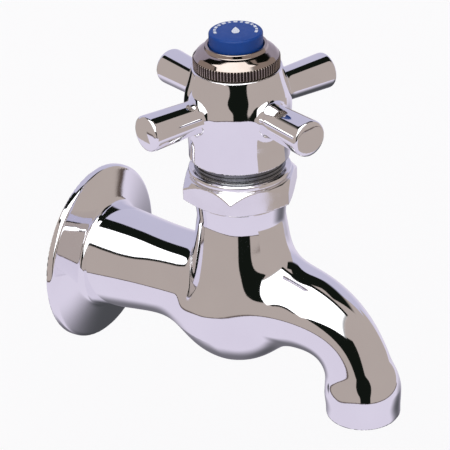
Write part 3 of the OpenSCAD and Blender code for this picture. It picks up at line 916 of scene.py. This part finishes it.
CHROME = metal(
    "chrome_plate",
    light=(0.93, 0.93, 0.95),
    dark=(0.90, 0.895, 0.92),
    roughness=(0.02, 0.055),
    tone_scale=70,
    swell=0.000035,
    swell_scale=95,
    grain=0.000002,
)
NUT_CHROME = metal(
    "turned_chrome",
    light=(0.92, 0.915, 0.93),
    dark=(0.86, 0.85, 0.87),
    roughness=(0.03, 0.09),
    tone_scale=120,
    swell=0.00003,
    swell_scale=160,
    grain=0.000004,
)
DARK_NICKEL = metal(
    "dark_nickel",
    light=(0.50, 0.43, 0.395),
    dark=(0.42, 0.36, 0.325),
    roughness=(0.05, 0.11),
    tone_scale=160,
    swell=0.00002,
    swell_scale=200,
    grain=0.000003,
)
# Painted shade: a near-black metal for the knurl's grooves, so that they show dark between the bright
# ridges.
KNURL_GROOVE_PAINTED_SHADE = metal(
    "knurl_groove_painted_shade",
    light=(0.06, 0.047, 0.038),
    dark=(0.035, 0.027, 0.022),
    roughness=(0.25, 0.4),
    tone_scale=160,
    grain=0.000003,
)
# Painted shade: a dark metal for the ridged neck under the handle's skirt. It stands in for the shade
# that the skirt and the nut cast into that gap.
RIDGED_NECK_PAINTED_SHADE = metal(
    "ridged_neck_painted_shade",
    light=(0.24, 0.25, 0.265),
    dark=(0.13, 0.135, 0.145),
    roughness=(0.12, 0.26),
    tone_scale=240,
    grain=0.000004,
)
BRASS = metal(
    "turned_brass",
    light=(0.80, 0.60, 0.28),
    dark=(0.70, 0.50, 0.22),
    roughness=(0.18, 0.32),
    tone_scale=200,
    grain=0.000006,
)
STEEL = metal(
    "bright_steel",
    light=(0.66, 0.67, 0.70),
    dark=(0.56, 0.57, 0.60),
    roughness=(0.16, 0.30),
    tone_scale=220,
    grain=0.000006,
)
BLUE_PLASTIC = plastic("blue_index_plastic", (0.006, 0.058, 0.29), (0.005, 0.048, 0.25), (0.34, 0.46))
WHITE_PRINT = plastic("white_print", (0.72, 0.76, 0.84), (0.62, 0.67, 0.76), (0.45, 0.6))
RUBBER = plastic("black_rubber", (0.022, 0.022, 0.024), (0.03, 0.03, 0.032), (0.55, 0.75))
NYLON = plastic("natural_nylon", (0.80, 0.78, 0.70), (0.74, 0.71, 0.63), (0.40, 0.55))

# The inner pieces keep their CAD shapes and only get a material.
BRASS_NODES = ("seat_insert", "stem", "seat_washer_screw", "driver")
STEEL_NODES = (
    "guide_plate",
    "retaining_ring",
    "return_spring",
    "stop_pin",
    "spring_washer",
    "handle_washer",
    "handle_lock_washer",
    "handle_screw",
)
RUBBER_NODES = ("bonnet_gasket", "bonnet_o_ring", "stem_o_ring", "seat_washer", "driver_o_ring")
NYLON_NODES = ("thrust_washer",)
for inner_material, inner_nodes in (
    (BRASS, BRASS_NODES),
    (STEEL, STEEL_NODES),
    (RUBBER, RUBBER_NODES),
    (NYLON, NYLON_NODES),
):
    for node_name in inner_nodes:
        inner_mesh = frame["nodes"][node_name].data
        inner_mesh.materials.clear()
        inner_mesh.materials.append(inner_material)


BODY_STEPS = (0.6, 1.1)
HANDLE_STEPS = (0.42, 0.8)
HEX_STEPS = (0.3, 0.5)


def choose_step(steps):
    fine, coarse = steps
    return fine


def around_axis(reach, z_low, z_high):
    """Low and high corner of a square box around the valve axis."""
    middle = np.array([VALVE_X, 0, 0])
    return middle + [-reach, -reach, z_low], middle + [reach, reach, z_high]


def axis_distance(c):
    return math.hypot(c.x - VALVE_X, c.y)


low, high = body_low - 1.5, body_high + 1.5
high[2] = NECK_TOP_Z + 1.5
casting = iso_mesh(body_field, low, high, choose_step(BODY_STEPS))
verts, faces, normals = join_parts([casting, inlet_thread()])
add_mesh("body_casting", verts, faces, "root", ["faucet_body"], normals, CHROME)

low, high = around_axis(ARM_REACH + 1.2, SKIRT_Z - 1, HUB_TOP_Z + 1)
verts, faces, normals = iso_mesh(handle_field, low, high, choose_step(HANDLE_STEPS))
add_mesh("handle_casting", verts, faces, "handle", ["handle"], normals, CHROME)

low, high = around_axis(HEX_REACH, HEX_Z - 0.8, HEX_TOP_Z + 0.8)
hexagon = iso_mesh(hex_field, low, high, choose_step(HEX_STEPS))
verts, faces, normals = join_parts([hexagon, bonnet_turning()])
bonnet = add_mesh("bonnet_hexagon", verts, faces, "root", ["bonnet"], normals, NUT_CHROME)
# The ridged neck between the bead and the shoulder gets the dark metal of painted shade.
paint_faces(
    bonnet,
    RIDGED_NECK_PAINTED_SHADE,
    lambda c: BEAD_TOP_Z + 0.05 < c.z < SHOULDER_Z + 0.2 and axis_distance(c) > RIDGE_R - 1.2,
)

verts, faces, _ = ring_turning()
ring = add_mesh("index_ring", verts, faces, "handle", ["knurled_ring"], None, DARK_NICKEL)
# The faces down in the knurl's grooves get the near-black metal of painted shade.
paint_faces(
    ring,
    KNURL_GROOVE_PAINTED_SHADE,
    lambda c: HUB_TOP_Z < c.z < KNURL_TOP_Z
    and RING_R - KNURL_DEPTH - 0.1 < axis_distance(c) < RING_R - 0.2,
)

verts, faces, _ = button_turning()
add_mesh("blue_button", verts, faces, "handle", ["index_button"], None, BLUE_PLASTIC)
verts, faces = index_mark()
mark = add_mesh("index_mark", verts, faces, "handle", (), None, WHITE_PRINT)
mark.data.shade_flat()


# ---------------------------------------------------------------- camera
CAMERA_AZIMUTH = math.radians(32.78)
CAMERA_ELEVATION = math.radians(28.51)
CAMERA_ROLL = math.radians(-2.06)
CAMERA_DISTANCE = 692.5
CAMERA_TARGET = Vector((46.67, 0, 20.48))
CAMERA_LENS = 189.15

back = Vector(
    (
        math.sin(CAMERA_AZIMUTH) * math.cos(CAMERA_ELEVATION),
        -math.cos(CAMERA_AZIMUTH) * math.cos(CAMERA_ELEVATION),
        math.sin(CAMERA_ELEVATION),
    )
)
flat_right = Vector((0, 0, 1)).cross(back).normalized()
flat_up = back.cross(flat_right)
right = flat_right * math.cos(CAMERA_ROLL) + flat_up * math.sin(CAMERA_ROLL)
up = flat_up * math.cos(CAMERA_ROLL) - flat_right * math.sin(CAMERA_ROLL)
camera_data = bpy.data.cameras.new("camera")
camera_data.lens = CAMERA_LENS
camera_data.sensor_width = 36
camera_data.clip_start = 0.01
camera_data.clip_end = 50
camera = bpy.data.objects.new("camera", camera_data)
turn = Matrix((right, up, back)).transposed().to_4x4()
camera.matrix_world = Matrix.Translation((CAMERA_TARGET + back * CAMERA_DISTANCE) * MM) @ turn
bpy.context.scene.collection.objects.link(camera)
bpy.context.scene.camera = camera


# ---------------------------------------------------------------- studio: world, floor, screens
# The studio is planned on a map with the zenith in the middle. A direction lies as many units from
# the middle as it is degrees from the zenith, and +y of the map points towards the camera's side.
LAVENDER = (0.73, 0.68, 0.81)
LAVENDER_ABOVE = (0.55, 0.53, 0.68)
LAVENDER_SHADE = (0.07, 0.072, 0.08)
TAUPE = (0.46, 0.395, 0.365)
TAUPE_EDGE = (0.10, 0.075, 0.065)
BLACK = (0.006, 0.008, 0.006)
SOFTBOX = (2.3, 2.3, 2.3)
WHITE = (1.0, 1.0, 1.0)
# Dark patches below the horizon: (azimuth, elevation, reach, strength), full within SHADE_CORE.
SHADES = ((130, -49, 34, 1.0), (-175, -57, 40, 0.85))
SHADE_CORE = 6
# The taupe wall. Its far edge lies at y = WALL_EDGE_Y and falls away to both sides of the middle. Its
# outer edge, WALL_END degrees from the zenith, sinks by WALL_SINK across WALL_SINK_AZIMUTHS.
WALL_END = 104.5
WALL_AZIMUTHS = (-135, 168)
WALL_EDGE_Y = -12
WALL_LEFT_START, WALL_LEFT_SLOPE = 10, -0.55
WALL_RIGHT_SLOPE, WALL_RIGHT_DROP, WALL_RIGHT_DROP_X = -0.4, 6, 12
WALL_SINK = 8
WALL_SINK_AZIMUTHS = (-15, -85)
# The black rail along the wall's far edge. Its two sides shift by so much between two values of x.
RAIL_NEAR, RAIL_FAR = -17, -1
RAIL_NEAR_SHIFT = (12, 8, 20)
RAIL_FAR_SHIFT = (-15, 22, 32)
RAIL_END = (60, 52)
# The black doorway: first and last azimuth, least and greatest angle from the zenith.
DOORWAY = (-168, -124, 98, 117)
# The black gap in the wall. It widens upwards, by so many degrees on either side between two angles.
GAP_LEFT, GAP_RIGHT, GAP_TOP = -11, 18, 69
GAP_WIDER_LEFT, GAP_WIDER_RIGHT = 21, 8
GAP_WIDER_ANGLES = (97, 73)
# The soft light and its black frame. Half planes of the map are (x part, y part, limit): a point is
# inside where x part * x + y part * y < limit.
SOFTBOX_EDGES = ((-1, 0, 43), (0, 1, 69), (0, -1, 5), (0.61, -0.79, 10.5))
SOFTBOX_FADE = (0.901, 0.434, 41)
FRAME_EDGES = ((-1, 0, 46.5), (0, 1, 76), (0, -1, 25), (0.61, -0.79, 18), (0.901, 0.434, 44))
FRAME_END = (80, 78.5)


def studio_direction(azimuth, elevation):
    """A direction from its azimuth right of the camera's and its elevation, in degrees."""
    turn, rise = CAMERA_AZIMUTH + math.radians(azimuth), math.radians(elevation)
    return (math.sin(turn) * math.cos(rise), -math.cos(turn) * math.cos(rise), math.sin(rise))


def studio_world():
    """The world: white for the camera, and the studio's map for everything else."""
    world = bpy.data.worlds.new("studio")
    bpy.context.scene.world = world
    world.use_nodes = True
    tree = world.node_tree
    tree.nodes.clear()
    links = tree.links

    def sums(operation, a, b=None):
        node = tree.nodes.new("ShaderNodeMath")
        node.operation = operation
        for socket, value in zip(node.inputs, (a, b)):
            if isinstance(value, (int, float)):
                socket.default_value = value
            elif value is not None:
                links.new(value, socket)
        return node.outputs[0]

    def plus(a, b):
        return sums("ADD", a, b)

    def minus(a, b):
        return sums("SUBTRACT", a, b)

    def times(a, b):
        return sums("MULTIPLY", a, b)

    def dot(vector, direction):
        node = tree.nodes.new("ShaderNodeVectorMath")
        node.operation = "DOT_PRODUCT"
        links.new(vector, node.inputs[0])
        node.inputs[1].default_value = direction
        return node.outputs["Value"]

    def ramp(value, start, end):
        node = tree.nodes.new("ShaderNodeMapRange")
        node.interpolation_type = "SMOOTHSTEP"
        node.inputs["From Min"].default_value = start
        node.inputs["From Max"].default_value = end
        links.new(value, node.inputs["Value"])
        return node.outputs["Result"]

    def between(value, low, high, soft):
        return times(ramp(value, low - soft, low + soft), ramp(value, high + soft, high - soft))

    def over(base, colour, mask):
        """Lays a colour over a base, which is a colour too or a socket."""
        node = tree.nodes.new("ShaderNodeMix")
        node.data_type = "RGBA"
        links.new(mask, node.inputs["Factor"])
        if isinstance(base, tuple):
            node.inputs["A"].default_value = (*base, 1)
        else:
            links.new(base, node.inputs["A"])
        node.inputs["B"].default_value = (*colour, 1)
        return node.outputs["Result"]

    direction = tree.nodes.new("ShaderNodeTexCoord").outputs["Generated"]
    forward = dot(direction, (math.sin(CAMERA_AZIMUTH), -math.cos(CAMERA_AZIMUTH), 0))
    sideways = dot(direction, (math.cos(CAMERA_AZIMUTH), math.sin(CAMERA_AZIMUTH), 0))
    angle = times(sums("ARCCOSINE", dot(direction, (0, 0, 1))), 180 / math.pi)
    azimuth = times(sums("ARCTAN2", sideways, forward), 180 / math.pi)
    flat = sums("SQRT", plus(times(forward, forward), times(sideways, sideways)))
    stretch = sums("DIVIDE", angle, sums("MAXIMUM", flat, 0.001))
    x, y = times(sideways, stretch), times(forward, stretch)

    def half_plane(edge, soft):
        x_part, y_part, limit = edge
        side = plus(times(x, x_part), times(y, y_part))
        return ramp(side, limit + soft, limit - soft)

    def inside(edges, soft):
        mask = half_plane(edges[0], soft)
        for edge in edges[1:]:
            mask = times(mask, half_plane(edge, soft))
        return mask

    colour = over(LAVENDER_ABOVE, LAVENDER, ramp(angle, 80, 108))
    for shade_azimuth, shade_elevation, reach, strength in SHADES:
        nearness = dot(direction, studio_direction(shade_azimuth, shade_elevation))
        rim, core = math.cos(math.radians(reach)), math.cos(math.radians(SHADE_CORE))
        colour = over(colour, LAVENDER_SHADE, times(ramp(nearness, rim, core), strength))

    past_start = sums("MAXIMUM", minus(times(x, -1), WALL_LEFT_START), 0)
    left_fall = times(past_start, WALL_LEFT_SLOPE)
    right_fall = times(sums("MAXIMUM", x, 0), WALL_RIGHT_SLOPE)
    right_fall = minus(right_fall, times(ramp(x, 0, WALL_RIGHT_DROP_X), WALL_RIGHT_DROP))
    depth = minus(y, plus(left_fall, right_fall))
    sunk = times(ramp(azimuth, *WALL_SINK_AZIMUTHS), WALL_SINK)
    below_wall = minus(minus(angle, WALL_END), sunk)
    wall = ramp(depth, WALL_EDGE_Y - 1, WALL_EDGE_Y + 1)
    wall = times(wall, between(azimuth, *WALL_AZIMUTHS, 2))
    colour = over(colour, TAUPE_EDGE, times(ramp(below_wall, 2, 1), wall))
    colour = over(colour, TAUPE, times(ramp(below_wall, 0.7, -0.7), wall))

    near_shift, *near_x = RAIL_NEAR_SHIFT
    far_shift, *far_x = RAIL_FAR_SHIFT
    near_side = plus(depth, times(ramp(x, *near_x), near_shift))
    far_side = plus(depth, times(ramp(x, *far_x), far_shift))
    rail = times(
        ramp(near_side, RAIL_NEAR - 1, RAIL_NEAR + 1),
        ramp(far_side, RAIL_FAR + 1, RAIL_FAR - 1),
    )
    colour = over(colour, BLACK, times(rail, ramp(angle, *RAIL_END)))
    first, last, least, greatest = DOORWAY
    doorway = times(between(azimuth, first, last, 1.5), between(angle, least, greatest, 1.5))
    colour = over(colour, BLACK, doorway)
    wider = ramp(angle, *GAP_WIDER_ANGLES)
    left_side = plus(azimuth, times(wider, GAP_WIDER_LEFT))
    right_side = minus(azimuth, times(wider, GAP_WIDER_RIGHT))
    gap = times(
        ramp(left_side, GAP_LEFT - 1, GAP_LEFT + 1),
        ramp(right_side, GAP_RIGHT + 1, GAP_RIGHT - 1),
    )
    colour = over(colour, BLACK, times(gap, between(angle, GAP_TOP, WALL_END + 1.2, 0.7)))
    colour = over(colour, BLACK, times(inside(FRAME_EDGES, 0.8), ramp(angle, *FRAME_END)))
    softbox = times(inside(SOFTBOX_EDGES, 0.8), half_plane(SOFTBOX_FADE, 5.0))
    colour = over(colour, SOFTBOX, softbox)

    seen = tree.nodes.new("ShaderNodeBackground")
    seen.inputs["Color"].default_value = (*WHITE, 1)
    mirrored = tree.nodes.new("ShaderNodeBackground")
    links.new(colour, mirrored.inputs["Color"])
    mix = tree.nodes.new("ShaderNodeMixShader")
    links.new(tree.nodes.new("ShaderNodeLightPath").outputs["Is Camera Ray"], mix.inputs["Fac"])
    links.new(mirrored.outputs[0], mix.inputs[1])
    links.new(seen.outputs[0], mix.inputs[2])
    output = tree.nodes.new("ShaderNodeOutputWorld")
    links.new(mix.outputs[0], output.inputs["Surface"])


studio_world()

FLOOR_Z = -150.0
FLOOR_R = 640.0
FLOOR_GLOW = 0.75


def studio_floor():
    """A pale round floor that shows only to the camera, so the metal mirrors the map instead."""
    bm = bmesh.new()
    bmesh.ops.create_circle(bm, cap_ends=True, segments=96, radius=FLOOR_R * MM)
    bmesh.ops.translate(bm, verts=bm.verts, vec=(VALVE_X * MM, 0, FLOOR_Z * MM))
    mesh = bpy.data.meshes.new("floor")
    bm.to_mesh(mesh)
    bm.free()
    floor = bpy.data.objects.new("floor", mesh)
    bpy.context.scene.collection.objects.link(floor)
    floor.visible_glossy = False
    floor.visible_diffuse = False
    material, _, shader = new_material("pale_floor")
    shader.inputs["Base Color"].default_value = (0.22, 0.22, 0.225, 1)
    shader.inputs["Roughness"].default_value = 1.0
    shader.inputs["Specular IOR Level"].default_value = 0.0
    shader.inputs["Emission Color"].default_value = (*WHITE, 1)
    shader.inputs["Emission Strength"].default_value = FLOOR_GLOW
    mesh.materials.append(material)


studio_floor()

SCREEN_DISTANCE = 150.0
SCREEN_STEPS = 24
# Low screens beside the faucet, as (name, first azimuth, last azimuth, bottom, top, colour).
SCREENS = (
    ("screen_left", -136, -92, -18, 45, TAUPE),
    ("screen_right", 39, 120, -46, 30, TAUPE),
)


def studio_screen(name, first, last, bottom, top, colour):
    """A curved screen around the valve axis. It shows only in reflections."""
    verts, faces = [], []
    for k in range(SCREEN_STEPS + 1):
        x, y, _ = studio_direction(first + (last - first) * k / SCREEN_STEPS, 0)
        for z in (bottom, top):
            verts.append(((VALVE_X + x * SCREEN_DISTANCE) * MM, y * SCREEN_DISTANCE * MM, z * MM))
    for k in range(SCREEN_STEPS):
        faces.append((2 * k, 2 * k + 2, 2 * k + 3, 2 * k + 1))
    mesh = bpy.data.meshes.new(name)
    mesh.from_pydata(verts, [], faces)
    screen = bpy.data.objects.new(name, mesh)
    bpy.context.scene.collection.objects.link(screen)
    screen.visible_camera = False
    screen.visible_diffuse = False
    screen.visible_shadow = False
    material, _, shader = new_material(name)
    shader.inputs["Base Color"].default_value = (0, 0, 0, 1)
    shader.inputs["Specular IOR Level"].default_value = 0.0
    shader.inputs["Emission Color"].default_value = (*colour, 1)
    shader.inputs["Emission Strength"].default_value = 1.0
    mesh.materials.append(material)


for screen in SCREENS:
    studio_screen(*screen)

bpy.context.scene.view_settings.view_transform = "Standard"
